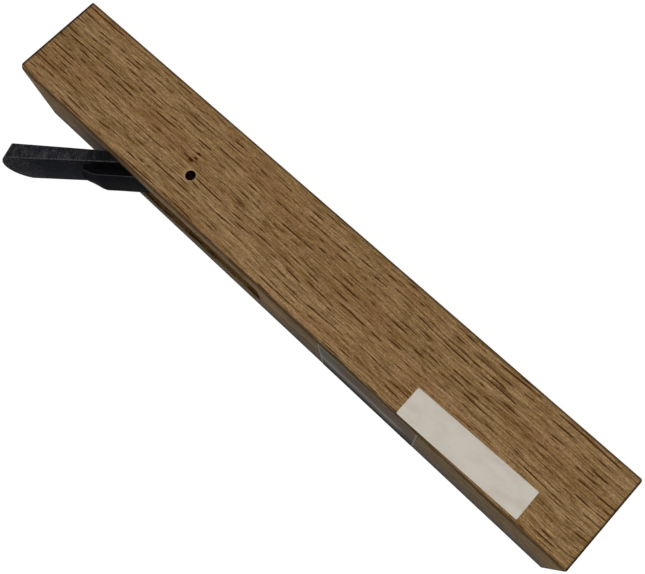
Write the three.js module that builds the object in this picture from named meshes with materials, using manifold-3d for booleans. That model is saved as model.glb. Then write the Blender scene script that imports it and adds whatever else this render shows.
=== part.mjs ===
// A narrow Japanese smoothing plane (kanna): an oak block, a laminated iron held by tapered grooves,
// a chip breaker wedged under a steel pin, and the two bare stickers on the block.
// Millimetres. The origin is the middle of the sole, +X points to the tail that leads the cut,
// +Y to the side with the sticker and the open end of the pin's hole, +Z up.

import * as THREE from "three";
import { mergeVertices } from "three/addons/utils/BufferGeometryUtils.js";
import Module from "manifold-3d";

// The block
const blockLength = 270;
const blockWidth = 36;
const blockHeight = 39;
const topArris = 0.6; // flat planed along each long top edge
const soleArris = 0.4;
const uprightArris = 0.6; // flats on the four upright corners
const headTopClip = 1.9; // the head is struck to free the iron, so its top edge is taken off
const tailTopClip = 0.7;
const endSoleClip = 0.7;

// The throat and the iron's place in it
const mouthFromHead = 102.4; // the cutting edge, measured from the head
const bedAngle = THREE.MathUtils.degToRad(37.5);
const throatWidth = 16.4; // clear width between the cheeks
const mouthOpening = 1.2; // gap in front of the cutting edge
const chipWallHeight = 6.5; // the steep wall right above the mouth
const chipWallAngle = THREE.MathUtils.degToRad(83);
const throatTopLength = 83.4; // on the top face, from the bed to the tail end of the opening
const grooveEndFromEdge = 8; // the grooves stop short of the sole
const edgeRetraction = 0.3; // the edge is drawn back just inside the sole

// Fits
const seatGap = 0.3; // between pieces that bear on each other
const sideGap = 0.3; // at each side of the iron
const overrun = 4; // how far a cutting tool runs past what it cuts
const weldTolerance = 1e-5; // corners closer than this are one corner

// The iron
const ironLength = 109.5;
const ironWidth = 19;
const ironHeadThickness = 6.4;
const ironTaper = THREE.MathUtils.degToRad(2.13);
const ironBevel = THREE.MathUtils.degToRad(28);
const ironHeadSlant = 2.1; // the struck end leans, so the back is shorter than the face
const headArchRadius = 12;
const headArchOffset = 1.5; // the crown of the forged end lies off the middle
const earAngle = THREE.MathUtils.degToRad(45);
const earClearance = 1.2; // from the cut ears to the ends of the grooves
const ironArris = 0.35;
const steelThickness = 1;
const steelLength = 46;
const hollowLength = 36; // the ground hollow in the steel's face
const hollowWidth = 12;
const hollowDepth = 0.45;
const hollowFromEdge = 3;
const hollowDomeShare = 2.4; // height of the grinding dome over the hollow's depth

// The chip breaker
const breakerLength = 76;
const breakerSideGap = 0.6; // from its sides to the cheeks
const breakerSetback = 0.6; // from the iron's cutting edge
const breakerThickness = 2.4;
const breakerTipThickness = 0.5;
const breakerBevel = THREE.MathUtils.degToRad(20);
const breakerLand = 1.6; // flat that bears on the iron behind the tip
const breakerRise = 3.25; // how far its back arches away from the iron, under the pin
const breakerHeadRise = 2.2; // and at its head end
const breakerHeadFrom = 9; // where that height is reached, from the head end
const breakerCamber = 0.35; // across the width
const breakerEarLength = 7.5; // the head end is bent down onto the iron over this length
const breakerMiddleBendShare = 0.6; // how far its middle bends, where the ears bend all the way
const breakerHeadRadius = 10.2; // its head end is arched
const breakerHeadOffset = 2; // and its crown lies off the middle, like the iron's
const breakerTipCorner = 1.4;
const breakerSteelThickness = 0.7;
const breakerSteelLength = 22;
const breakerStations = 44;
const breakerStationShare = 1.4; // over 1, so that the stations crowd towards the tip
const breakerColumns = 12;

// The pin
const pinRadius = 1.75;
const pinFit = 0.25; // wall of the hole to the pin
const pinFromEdge = 29.9; // along the iron's face
const pinRecess = 2.2; // its end lies below the side
const pinBlindWall = 6; // wood left behind the hole on the far side
const pinChamfer = 0.4;
const roundSteps = 32;

// The stickers
const sideLabelLength = 50.5;
const sideLabelHeight = 11.5;
const sideLabelFromHead = 223.4; // its middle
const sideLabelFromTop = 0.65; // its upper edge below the side's own upper edge, at the middle
const sideLabelTilt = THREE.MathUtils.degToRad(1.25); // stuck on lower at the tail
const sideLabelCorner = 0.5;
const topLabelLength = 46;
const topLabelFromHead = 185.5; // its middle
const topLabelMargin = 0.5; // wood left at each side of it
const labelThickness = 0.25;
const cornerSteps = 4;

const wasm = await Module();
wasm.setup();

// Solids from three.js geometry

/** A manifold solid from a closed three.js geometry. */
function solid(geometry) {
  const bare = geometry.clone();
  bare.deleteAttribute("normal");
  bare.deleteAttribute("uv");
  const welded = mergeVertices(bare, weldTolerance);
  return new wasm.Manifold(
    new wasm.Mesh({
      numProp: 3,
      vertProperties: new Float32Array(welded.attributes.position.array),
      triVerts: new Uint32Array(welded.index.array),
    }),
  );
}

/** A flat-shaded three.js geometry from a manifold solid. */
function geometryOf(body) {
  const data = body.getMesh();
  const geometry = new THREE.BufferGeometry();
  geometry.setAttribute("position", new THREE.BufferAttribute(new Float32Array(data.vertProperties), 3));
  geometry.setIndex(new THREE.BufferAttribute(new Uint32Array(data.triVerts), 1));
  const flat = geometry.toNonIndexed();
  flat.computeVertexNormals();
  return flat;
}

/** A shape from corner points. A corner that a cut of zero size repeats is taken once. */
function shapeOf(points) {
  const corners = points.filter(([a, b], k) => {
    const [c, d] = points[(k + 1) % points.length];
    return a !== c || b !== d;
  });
  return new THREE.Shape(corners.map(([a, b]) => new THREE.Vector2(a, b)));
}

/** Points in X and Z, drawn out along Y and centred on it. */
function acrossY(points, width) {
  const geometry = new THREE.ExtrudeGeometry(shapeOf(points), { depth: width, bevelEnabled: false });
  return geometry.rotateX(Math.PI / 2).translate(0, width / 2, 0);
}

/** Points in Y and Z, drawn out along X and centred on it. */
function alongX(points, length) {
  const geometry = new THREE.ExtrudeGeometry(shapeOf(points), { depth: length, bevelEnabled: false });
  const turn = new THREE.Matrix4().makeBasis(
    new THREE.Vector3(0, 1, 0),
    new THREE.Vector3(0, 0, 1),
    new THREE.Vector3(1, 0, 0),
  );
  return geometry.applyMatrix4(turn).translate(-length / 2, 0, 0);
}

/** A plan in X and Y, drawn out along Z from a start height. */
function upZ(shape, height, start = 0) {
  const geometry = new THREE.ExtrudeGeometry(shape, {
    depth: height,
    bevelEnabled: false,
    curveSegments: roundSteps,
  });
  return geometry.translate(0, 0, start);
}

/** A rectangle from (x0, y0) to (x1, y1) with its corners cut off at 45 degrees, one size a corner. */
function clippedRectangle(x0, y0, x1, y1, [lowLow, highLow, highHigh, lowHigh]) {
  return [
    [x0 + lowLow, y0],
    [x1 - highLow, y0],
    [x1, y0 + highLow],
    [x1, y1 - highHigh],
    [x1 - highHigh, y1],
    [x0 + lowHigh, y1],
    [x0, y1 - lowHigh],
    [x0, y0 + lowLow],
  ];
}

/** A smooth 0 to 1 step. */
function ease(value) {
  const t = Math.min(1, Math.max(0, value));
  return t * t * (3 - 2 * t);
}

// Where the iron lies

// The bed frame: X runs down the bed to the sole, Z stands off the bed, and its origin is the foot of the
// cutting edge on the iron's back. The face frame is tilted in it by the taper, with its origin on the edge.
const edgeThickness = ironHeadThickness - ironLength * Math.tan(ironTaper);
const edgeX = mouthFromHead - blockLength / 2;
const bedFrame = new THREE.Group();
bedFrame.position.set(
  edgeX - edgeThickness * Math.sin(bedAngle),
  0,
  edgeRetraction - edgeThickness * Math.cos(bedAngle),
);
bedFrame.rotation.y = bedAngle;
const faceFrame = new THREE.Group();
faceFrame.position.set(0, 0, edgeThickness);
faceFrame.rotation.y = ironTaper;
bedFrame.add(faceFrame);
bedFrame.updateMatrixWorld(true);

/** The iron's thickness at a place along the bed frame's X. */
function ironThicknessAt(x) {
  return edgeThickness - x * Math.tan(ironTaper);
}

// The iron, in the bed frame

const throatHalf = throatWidth / 2;
const ironHalf = ironWidth / 2;
const edgeHalf = throatHalf - sideGap;
const earRun = (ironHalf - edgeHalf) / Math.tan(earAngle);
const earStart = grooveEndFromEdge + earClearance + earRun;

/** The side view: struck end, back, bevel and face. */
function ironProfile() {
  const bevelRun = edgeThickness / Math.tan(ironBevel - ironTaper);
  return [
    [-ironLength, 0],
    [-bevelRun, 0],
    [0, edgeThickness],
    [-ironLength, ironHeadThickness],
  ];
}

/** The plan of the sides: straight, with the ears cut so that the edge passes between the cheeks. */
function ironPlan() {
  return shapeOf([
    [overrun, edgeHalf],
    [-earStart + earRun, edgeHalf],
    [-earStart, ironHalf],
    [-ironLength, ironHalf],
    [-ironLength, -ironHalf],
    [-earStart, -ironHalf],
    [-earStart + earRun, -edgeHalf],
    [overrun, -edgeHalf],
  ]);
}

/** A plan with an arched end at the low end of X, its crown a given offset off the middle. */
function archedPlan(length, half, radius, offset) {
  const centreX = -length + radius;
  const nearAngle = Math.asin(Math.min(1, (half - offset) / radius));
  const farAngle = Math.asin(Math.min(1, (half + offset) / radius));
  const plan = new THREE.Shape();
  plan.moveTo(overrun, half);
  plan.lineTo(centreX - radius * Math.cos(nearAngle), half);
  plan.absarc(centreX, offset, radius, Math.PI - nearAngle, Math.PI + farAngle, false);
  plan.lineTo(overrun, -half);
  return plan;
}

/** What the struck end leaves: the arched plan, leaning over the iron's thickness. */
function ironHead() {
  const lean = ironHeadSlant / ironHeadThickness;
  const head = upZ(
    archedPlan(ironLength - ironHeadSlant, ironHalf, headArchRadius, headArchOffset),
    ironHeadThickness + 2 * overrun,
    -overrun,
  );
  const shear = new THREE.Matrix4().makeShear(0, 0, 0, 0, -lean, 0);
  return solid(head.applyMatrix4(shear));
}

/** What lies above a plane a given depth under the iron's face, from the edge up to a given length. */
function faceLayer(depth, length) {
  return solid(
    acrossY(
      [
        [-length, ironThicknessAt(-length) - depth],
        [overrun, ironThicknessAt(overrun) - depth],
        [overrun, ironHeadThickness + overrun],
        [-length, ironHeadThickness + overrun],
      ],
      ironWidth + overrun,
    ),
  );
}

/** The four long flats taken off the iron's arrises, as one tube to keep. */
function ironSection() {
  const section = clippedRectangle(-ironHalf, 0, ironHalf, ironHeadThickness, [ironArris, ironArris, 0, 0]);
  return solid(alongX(section, ironLength).translate(-ironLength / 2, 0, 0));
}

/** The hollow ground into the face, as a flattened dome. */
function hollowDome() {
  const domeHeight = hollowDepth * hollowDomeShare;
  const cutShare = Math.sqrt(1 - (1 - hollowDepth / domeHeight) ** 2);
  const dome = new THREE.SphereGeometry(1, roundSteps, roundSteps / 2);
  dome.scale(hollowLength / 2 / cutShare, hollowWidth / 2 / cutShare, domeHeight);
  dome.translate(-hollowFromEdge - hollowLength / 2, 0, domeHeight - hollowDepth);
  return solid(dome.applyMatrix4(faceFrame.matrix));
}

const ironBlank = solid(acrossY(ironProfile(), ironWidth))
  .intersect(solid(upZ(ironPlan(), ironHeadThickness + 2 * overrun, -overrun)))
  .intersect(ironHead())
  .intersect(ironSection());
const ironSteel = ironBlank.intersect(faceLayer(steelThickness, steelLength)).subtract(hollowDome());
const ironBody = ironBlank.subtract(faceLayer(steelThickness + seatGap, steelLength + seatGap));

// The chip breaker, in the face frame

const breakerHalf = throatHalf - breakerSideGap;

/** How far the middle of its underside stands off the iron, at a distance from the iron's edge. */
function archAt(distance) {
  const landEnd = breakerSetback + breakerLand;
  const headPlace = breakerSetback + breakerLength - breakerHeadFrom;
  if (distance <= pinFromEdge) {
    return breakerRise * Math.sin((Math.PI / 2) * ease((distance - landEnd) / (pinFromEdge - landEnd)));
  }
  const back = ease((distance - pinFromEdge) / (headPlace - pinFromEdge));
  return breakerRise + (breakerHeadRise - breakerRise) * back;
}

/** How far a point of it is bent down towards the iron, by the camber and by the ears. */
function bendAt(distance, y) {
  const across = Math.abs(y) / breakerHalf;
  const earPlace = breakerSetback + breakerLength - breakerEarLength;
  const along = ease((distance - earPlace) / breakerEarLength);
  const bent = breakerMiddleBendShare + (1 - breakerMiddleBendShare) * ease(across);
  const camber = breakerCamber * across ** 2 * (archAt(distance) / breakerRise);
  return camber + (archAt(distance) - camber) * along * bent;
}

/** Its thickness, which falls to the tip. */
function breakerThicknessAt(distance) {
  const bevelled = breakerTipThickness + (distance - breakerSetback) * Math.tan(breakerBevel);
  return Math.min(breakerThickness, bevelled);
}

/** The height of its underside over the iron's face. */
function undersideAt(distance, y) {
  return seatGap + archAt(distance) - bendAt(distance, y);
}

/** A plate lofted between two height fields over the breaker's plan. */
function loftPlate(from, to, half, low, high) {
  const rows = [];
  for (let i = 0; i <= breakerStations; i++) {
    rows.push(from + (to - from) * (i / breakerStations) ** breakerStationShare);
  }
  const positions = [];
  const index = [];
  const across = breakerColumns + 1;
  for (const field of [high, low]) {
    for (const distance of rows) {
      for (let j = 0; j <= breakerColumns; j++) {
        const y = half * ((2 * j) / breakerColumns - 1);
        positions.push(-distance, y, field(distance, y));
      }
    }
  }
  const layer = rows.length * across;
  const at = (k, i, j) => k * layer + i * across + j;
  const quad = (a, b, c, d) => index.push(a, b, c, a, c, d);
  for (let i = 0; i < breakerStations; i++) {
    for (let j = 0; j < breakerColumns; j++) {
      quad(at(0, i, j), at(0, i, j + 1), at(0, i + 1, j + 1), at(0, i + 1, j));
      quad(at(1, i, j), at(1, i + 1, j), at(1, i + 1, j + 1), at(1, i, j + 1));
    }
    quad(at(0, i, 0), at(0, i + 1, 0), at(1, i + 1, 0), at(1, i, 0));
    quad(at(0, i + 1, breakerColumns), at(0, i, breakerColumns), at(1, i, breakerColumns),
      at(1, i + 1, breakerColumns));
  }
  for (let j = 0; j < breakerColumns; j++) {
    quad(at(0, 0, j + 1), at(0, 0, j), at(1, 0, j), at(1, 0, j + 1));
    quad(at(0, breakerStations, j), at(0, breakerStations, j + 1), at(1, breakerStations, j + 1),
      at(1, breakerStations, j));
  }
  const geometry = new THREE.BufferGeometry();
  geometry.setAttribute("position", new THREE.Float32BufferAttribute(positions, 3));
  geometry.setIndex(index);
  return solid(geometry);
}

/** The breaker's plan, with an arched head and cut corners at the tip. */
function breakerPlan() {
  const height = breakerRise + breakerThickness + 2 * overrun;
  const far = breakerSetback + breakerLength;
  const points = clippedRectangle(
    -far, -breakerHalf, -breakerSetback, breakerHalf, [0, breakerTipCorner, breakerTipCorner, 0],
  );
  return solid(upZ(shapeOf(points), height, -overrun)).intersect(
    solid(upZ(archedPlan(far, breakerHalf, breakerHeadRadius, breakerHeadOffset), height, -overrun)),
  );
}

/** The part of the breaker's plate within a depth of its underside, from the tip up to a length. */
function breakerLayer(depth, length) {
  return loftPlate(
    breakerSetback - overrun,
    breakerSetback + length,
    breakerHalf + overrun,
    (distance, y) => undersideAt(distance, y) - overrun,
    (distance, y) => undersideAt(distance, y) + depth,
  );
}

const breakerBlank = loftPlate(
  breakerSetback,
  breakerSetback + breakerLength,
  breakerHalf,
  undersideAt,
  (distance, y) => undersideAt(distance, y) + breakerThicknessAt(distance),
).intersect(breakerPlan());
const breakerSteel = breakerBlank.intersect(breakerLayer(breakerSteelThickness, breakerSteelLength));
const breakerBody = breakerBlank.subtract(
  breakerLayer(breakerSteelThickness + seatGap, breakerSteelLength + seatGap),
);

// The pin: it bears on the crown of the breaker

const pinPlace = new THREE.Vector3(
  -pinFromEdge,
  0,
  seatGap + breakerRise + breakerThickness + seatGap + pinRadius,
).applyMatrix4(faceFrame.matrixWorld);
const pinLength = blockWidth - pinRecess - pinBlindWall - seatGap;

/** The pin about the Y axis, chamfered at both ends and centred. */
function pinGeometry() {
  const half = pinLength / 2;
  const outline = [
    [0, -half],
    [pinRadius - pinChamfer, -half],
    [pinRadius, -half + pinChamfer],
    [pinRadius, half - pinChamfer],
    [pinRadius - pinChamfer, half],
    [0, half],
  ];
  return new THREE.LatheGeometry(outline.map(([r, y]) => new THREE.Vector2(r, y)), roundSteps);
}

// The block

/** Where the bed meets a height, along X. */
function bedAt(height) {
  const foot = bedFrame.position;
  const bedX = foot.x - seatGap * Math.sin(bedAngle);
  const bedZ = foot.z - seatGap * Math.cos(bedAngle);
  return bedX - (height - bedZ) / Math.tan(bedAngle);
}

/** The throat from the mouth to the top face. */
function throatTool() {
  const mouthFront = edgeX + mouthOpening;
  const wallTopX = mouthFront + chipWallHeight / Math.tan(chipWallAngle);
  const topEnd = bedAt(blockHeight) + throatTopLength;
  const slope = (topEnd - wallTopX) / (blockHeight - chipWallHeight);
  return solid(
    acrossY(
      [
        [bedAt(0), -overrun],
        [mouthFront, -overrun],
        [mouthFront, 0],
        [wallTopX, chipWallHeight],
        [topEnd + slope * overrun, blockHeight + overrun],
        [bedAt(blockHeight + overrun), blockHeight + overrun],
        [bedAt(0), 0],
      ],
      throatWidth,
    ),
  );
}

/** The tapered grooves in both cheeks that hold the iron's sides. */
function grooveTool() {
  const tool = acrossY(
    [
      [-grooveEndFromEdge, -seatGap],
      [-grooveEndFromEdge, ironThicknessAt(-grooveEndFromEdge) + seatGap],
      [-ironLength, ironThicknessAt(-ironLength) + seatGap],
      [-ironLength, -seatGap],
    ],
    ironWidth + 2 * sideGap,
  );
  return solid(tool.applyMatrix4(bedFrame.matrixWorld));
}

/** The pin's hole, open at the near side and blind at the far one. */
function pinHoleTool() {
  const depth = blockWidth - pinBlindWall + overrun;
  const tool = new THREE.CylinderGeometry(pinRadius + pinFit, pinRadius + pinFit, depth, roundSteps);
  return solid(tool.translate(pinPlace.x, blockWidth / 2 + overrun - depth / 2, pinPlace.z));
}

/** The block's blank, with its end, side and upright edges eased. */
function blockBlank() {
  const halfLength = blockLength / 2;
  const halfWidth = blockWidth / 2;
  const across = clippedRectangle(
    -halfWidth, 0, halfWidth, blockHeight, [soleArris, soleArris, topArris, topArris],
  );
  const along = clippedRectangle(
    -halfLength, 0, halfLength, blockHeight, [endSoleClip, endSoleClip, tailTopClip, headTopClip],
  );
  const plan = clippedRectangle(
    -halfLength, -halfWidth, halfLength, halfWidth, [uprightArris, uprightArris, uprightArris, uprightArris],
  );
  return solid(alongX(across, blockLength))
    .intersect(solid(acrossY(along, blockWidth)))
    .intersect(solid(upZ(shapeOf(plan), blockHeight)));
}

const block = blockBlank().subtract(throatTool()).subtract(grooveTool()).subtract(pinHoleTool());

// The stickers

/** A thin sheet with rounded corners, lying in X and Y and centred. */
function sheet(length, width, corner) {
  const x = length / 2;
  const y = width / 2;
  const outline = new THREE.Shape();
  outline.moveTo(-x + corner, -y);
  outline.absarc(x - corner, -y + corner, corner, -Math.PI / 2, 0, false);
  outline.absarc(x - corner, y - corner, corner, 0, Math.PI / 2, false);
  outline.absarc(-x + corner, y - corner, corner, Math.PI / 2, Math.PI, false);
  outline.absarc(-x + corner, -y + corner, corner, Math.PI, (3 * Math.PI) / 2, false);
  return new THREE.ExtrudeGeometry(outline, {
    depth: labelThickness,
    bevelEnabled: false,
    curveSegments: cornerSteps,
  });
}

// The assembly

/** A material in an sRGB colour. */
function finish(color, roughness, metalness) {
  return new THREE.MeshStandardMaterial({ color, roughness, metalness });
}

const oak = finish(0xa98a5f, 0.62, 0);
const forgeBlack = finish(0x34363c, 0.55, 0.6);
const steelFace = finish(0x8d9094, 0.35, 0.9);
const darkSteel = finish(0x4a4c50, 0.45, 0.8);
const paper = finish(0xd8d2c6, 0.8, 0);
const film = finish(0x8f979c, 0.25, 0);

/** A named mesh. */
function piece(name, geometry, material) {
  const mesh = new THREE.Mesh(geometry, material);
  mesh.name = name;
  return mesh;
}

const kanna = new THREE.Group();
kanna.name = "kanna";

const dai = new THREE.Group();
dai.name = "dai";
dai.add(piece("dai_block", geometryOf(block), oak));

const pin = piece("pressure_pin", pinGeometry(), darkSteel);
pin.position.set(pinPlace.x, blockWidth / 2 - pinRecess - pinLength / 2, pinPlace.z);
dai.add(pin);

const sideLabel = piece("side_label", sheet(sideLabelLength, sideLabelHeight, sideLabelCorner), paper);
sideLabel.rotation.set(-Math.PI / 2, 0, sideLabelTilt);
sideLabel.position.set(
  sideLabelFromHead - blockLength / 2,
  blockWidth / 2 + seatGap,
  blockHeight - topArris - sideLabelFromTop - sideLabelHeight / 2,
);
dai.add(sideLabel);

const topLabelWidth = blockWidth - 2 * (topArris + topLabelMargin);
const topLabel = piece("top_label", sheet(topLabelLength, topLabelWidth, sideLabelCorner), film);
topLabel.position.set(topLabelFromHead - blockLength / 2, 0, blockHeight + seatGap);
dai.add(topLabel);
kanna.add(dai);

bedFrame.name = "iron";
bedFrame.add(piece("iron_body", geometryOf(ironBody), forgeBlack));
bedFrame.add(piece("iron_steel", geometryOf(ironSteel), steelFace));
faceFrame.name = "chip_breaker";
faceFrame.add(piece("breaker_body", geometryOf(breakerBody), forgeBlack));
faceFrame.add(piece("breaker_steel", geometryOf(breakerSteel), steelFace));
kanna.add(bedFrame);

export default kanna;
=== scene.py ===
"""The looks of a narrow Japanese hand plane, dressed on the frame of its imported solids.

The frame is in metres: +X runs along the block to the tail, +Y is the side with the sticker, and +Z is up.
Sizes in the classes are in millimetres, and each shape is brought to metres when it is finished.
"""

import logging
import math
from collections.abc import Callable, Iterable
from dataclasses import dataclass
from enum import Enum
from functools import partial, reduce

import bmesh
import bpy
from mathutils import Matrix, Vector


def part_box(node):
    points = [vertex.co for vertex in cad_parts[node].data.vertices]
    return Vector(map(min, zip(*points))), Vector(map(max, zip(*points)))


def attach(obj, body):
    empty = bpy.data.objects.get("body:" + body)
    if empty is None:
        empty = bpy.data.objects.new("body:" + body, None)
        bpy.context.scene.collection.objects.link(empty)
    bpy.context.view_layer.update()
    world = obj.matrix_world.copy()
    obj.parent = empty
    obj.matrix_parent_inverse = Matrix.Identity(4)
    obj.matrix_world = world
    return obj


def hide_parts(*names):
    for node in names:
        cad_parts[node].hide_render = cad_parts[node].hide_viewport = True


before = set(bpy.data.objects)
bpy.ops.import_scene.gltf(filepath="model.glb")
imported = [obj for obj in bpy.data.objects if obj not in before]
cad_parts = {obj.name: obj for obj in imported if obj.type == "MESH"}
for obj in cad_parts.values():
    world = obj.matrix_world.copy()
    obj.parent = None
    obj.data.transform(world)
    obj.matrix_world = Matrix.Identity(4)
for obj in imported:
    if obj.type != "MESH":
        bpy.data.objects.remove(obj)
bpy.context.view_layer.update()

Colour = tuple[float, float, float]
Point = tuple[float, float, float]
Socket = bpy.types.NodeSocket
Value = Socket | float
Tone = Socket | Colour
Vertex = bmesh.types.BMVert
Face = bmesh.types.BMFace

MILLIMETRE = 0.001
WEAR = "wear"
# Marks faces for their finish: the steel's hollow, the pin's hole wall, and the breaker's sides of painted
# shade.
HOLLOW_AND_SHADE = "marked_hollow_and_shade"
WHITE: Colour = (1.0, 1.0, 1.0)
NOISE_MIDDLE = 0.5
# The Mix node's sockets for colours, by number, because their names stand for several.
MIX_COLOURS = (6, 7)
MIX_RESULT = 2
UPRIGHT: Point = (0.0, 0.0, 1.0)
UNIT_HALF = 0.5
CUT_TOLERANCE = 1e-5
BLOCK_LENGTH = 270.0
BLOCK_WIDTH = 36.0
BLOCK_HEIGHT = 39.0
BED_ANGLE = math.radians(37.5)

log = logging.getLogger("kanna")


class Body(str, Enum):
    """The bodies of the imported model."""

    DAI = "dai"
    IRON = "iron"
    BREAKER = "breaker"


class Slot(str, Enum):
    """The material slots."""

    OAK = "oak"
    FORGED_IRON = "forged_iron"
    EDGE_STEEL = "edge_steel"
    PIN_STEEL = "pin_steel"
    PAPER = "paper"
    FILM = "film"


def linear(value: int) -> float:
    """One channel from 0 to 255 as it reads on a screen, made linear by the sRGB curve."""
    share = value / 255
    return share / 12.92 if share <= 0.04045 else ((share + 0.055) / 1.055) ** 2.4


def from_srgb(red: int, green: int, blue: int) -> Colour:
    """The linear colour of a red, a green and a blue from 0 to 255."""
    return linear(red), linear(green), linear(blue)


@dataclass(frozen=True)
class Grain:
    """The size of a noise's grains along X, Y and Z, its octaves, and how strong the fine ones are."""

    size: Point
    detail: float = 2.0
    roughness: float = 0.5


@dataclass(frozen=True)
class Ramp:
    """A smooth change from a low to a high result, between two values."""

    start: float
    end: float
    low: float = 0.0
    high: float = 1.0

    def moved(self, by: float) -> "Ramp":
        """The same ramp, further on."""
        return Ramp(self.start + by, self.end + by, self.low, self.high)


@dataclass(frozen=True)
class Reach:
    """A ramp along one axis, or from a middle on that axis to either side."""

    axis: str
    ramp: Ramp
    middle: float | None = None


class Nodes:
    """A node tree, laid out step by step."""

    def __init__(self, tree: bpy.types.NodeTree) -> None:
        """Takes a tree and empties it."""
        self.tree = tree
        self.tree.nodes.clear()

    def give(self, node: bpy.types.Node, socket: int | str, value: object) -> None:
        """Links or sets one input of a node.

        Args:
            node: The node.
            socket: The input's name or number.
            value: An output to link, or a plain value.
        """
        target = node.inputs[socket]
        if isinstance(value, Socket):
            self.tree.links.new(value, target)
        elif isinstance(value, tuple) and target.type == "RGBA":
            target.default_value = (*value, 1.0)
        else:
            target.default_value = value

    def node(self, kind: str, *values: object, **settings: object) -> bpy.types.Node:
        """Adds a node.

        Args:
            kind: Its type, without ShaderNode in front.
            *values: Its first inputs, in order.
            **settings: Its own settings.

        Returns:
            The node.
        """
        node = self.tree.nodes.new(f"ShaderNode{kind}")
        for name, setting in settings.items():
            setattr(node, name, setting)
        for number, value in enumerate(values):
            self.give(node, number, value)
        return node

    def calc(self, kind: str, *values: Value) -> Socket:
        """The result of a Math node of one kind."""
        return self.node("Math", *values, operation=kind).outputs[0]

    def times(self, *values: Value) -> Socket:
        """The product of several values."""
        return reduce(partial(self.calc, "MULTIPLY"), values)

    def most(self, *values: Value) -> Socket:
        """The greatest of several values."""
        return reduce(partial(self.calc, "MAXIMUM"), values)

    def seen(self) -> Socket:
        """Whether a ray comes from the camera, or from a reflection or a clear piece."""
        ray = self.node("LightPath").outputs
        return self.most(ray["Is Camera Ray"], ray["Is Glossy Ray"], ray["Is Transmission Ray"])


class Surface(Nodes):
    """The node tree of one material, laid out in millimetres."""

    def __init__(self, name: str) -> None:
        """Starts a tree with a shader and an output.

        Args:
            name: The material's name.
        """
        self.material = bpy.data.materials.new(name)
        self.material.use_nodes = True
        super().__init__(self.material.node_tree)
        self.output = self.node("OutputMaterial")
        self.shader = self.node("BsdfPrincipled")
        self.give(self.output, "Surface", self.shader.outputs[0])
        place = self.node("VectorMath", self.node("TexCoord").outputs["Object"], operation="SCALE")
        self.give(place, "Scale", 1 / MILLIMETRE)
        self.place = place.outputs["Vector"]

    def vector(self, kind: str, *values: object) -> Socket:
        """The vector of a Vector Math node of one kind, or its value for a length or a dot product."""
        node = self.node("VectorMath", *values, operation=kind)
        return node.outputs["Value" if kind in ("LENGTH", "DOT_PRODUCT") else "Vector"]

    def axes(self, place: Socket) -> bpy.types.NodeOutputs:
        """The X, Y and Z of a place, each as a value."""
        return self.node("SeparateXYZ", place).outputs

    def joined(self, *values: Value) -> Socket:
        """The place with these X, Y and Z."""
        return self.node("CombineXYZ", *values).outputs[0]

    def off(self, value: Socket, middle: Value) -> Socket:
        """How far a value lies from a middle, on either side."""
        return self.calc("ABSOLUTE", self.calc("SUBTRACT", value, middle))

    def cloud(self, grain: Grain, place: Socket | None = None, output: str = "Fac") -> Socket:
        """A noise with grains of a given size.

        Args:
            grain: The grains.
            place: The place that it reads, where that isn't the piece's own.
            output: The name of the output.

        Returns:
            The noise.
        """
        node = self.node("TexNoise")
        self.give(node, "Vector", self.vector("DIVIDE", self.place if place is None else place, grain.size))
        self.give(node, "Scale", 1.0)
        self.give(node, "Detail", grain.detail)
        self.give(node, "Roughness", grain.roughness)
        return node.outputs[output]

    def wander(self, value: Socket, grain: Grain, reach: float) -> Socket:
        """A value that a noise moves to and fro by a reach from end to end."""
        return self.calc("MULTIPLY_ADD", self.calc("SUBTRACT", self.cloud(grain), NOISE_MIDDLE), reach, value)

    def step(self, value: Socket, ramp: Ramp) -> Socket:
        """A value mapped by a ramp, and held beyond its ends."""
        inputs = (value, ramp.start, ramp.end, ramp.low, ramp.high)
        return self.node("MapRange", *inputs, interpolation_type="SMOOTHSTEP").outputs["Result"]

    def within(self, *zone: Reach) -> Socket:
        """How far a place lies inside a zone.

        Args:
            *zone: The zone's reaches.

        Returns:
            The product of their ramps.
        """
        at = self.axes(self.place)
        shares = []
        for reach in zone:
            value = at[reach.axis] if reach.middle is None else self.off(at[reach.axis], reach.middle)
            shares.append(self.step(value, reach.ramp))
        return self.times(*shares)

    def blend(self, share: Value, first: Tone, second: Tone, kind: str = "MIX") -> Socket:
        """Two colours mixed by a share.

        Args:
            share: How much of the second shows.
            first: The first colour.
            second: The second colour.
            kind: The way that they mix.

        Returns:
            The mixed colour.
        """
        node = self.node("Mix", share, data_type="RGBA", blend_type=kind)
        for socket, tone in zip(MIX_COLOURS, (first, second)):
            self.give(node, socket, tone)
        return node.outputs[MIX_RESULT]

    def shaded(self, colour: Socket, value: Socket) -> Socket:
        """A colour made darker or lighter by a value."""
        grey = self.node("CombineColor", value, value, value).outputs["Color"]
        return self.blend(1.0, colour, grey, "MULTIPLY")

    def mixed(self, share: Socket, first: Socket, second: Socket) -> Socket:
        """Two shaders mixed by the share of the second."""
        return self.node("MixShader", share, first, second).outputs[0]

    def attribute(self, name: str) -> Socket:
        """The value of one of the mesh's own attributes."""
        return self.node("Attribute", attribute_name=name).outputs["Fac"]

    def relief(self, height: Socket, depth: float, strength: float) -> None:
        """A bump on the shader.

        Args:
            height: The height from 0 to 1.
            depth: What a height of 1 stands for, in millimetres.
            strength: How much of it shows.
        """
        node = self.node("Bump")
        self.give(node, "Strength", strength)
        self.give(node, "Distance", depth * MILLIMETRE)
        self.give(node, "Height", height)
        self.give(self.shader, "Normal", node.outputs["Normal"])

    def plain(self, **values: object) -> None:
        """Sets the shader's own sockets, with their spaces written as underscores."""
        for name, value in values.items():
            self.give(self.shader, name.replace("_", " "), value)


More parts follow.
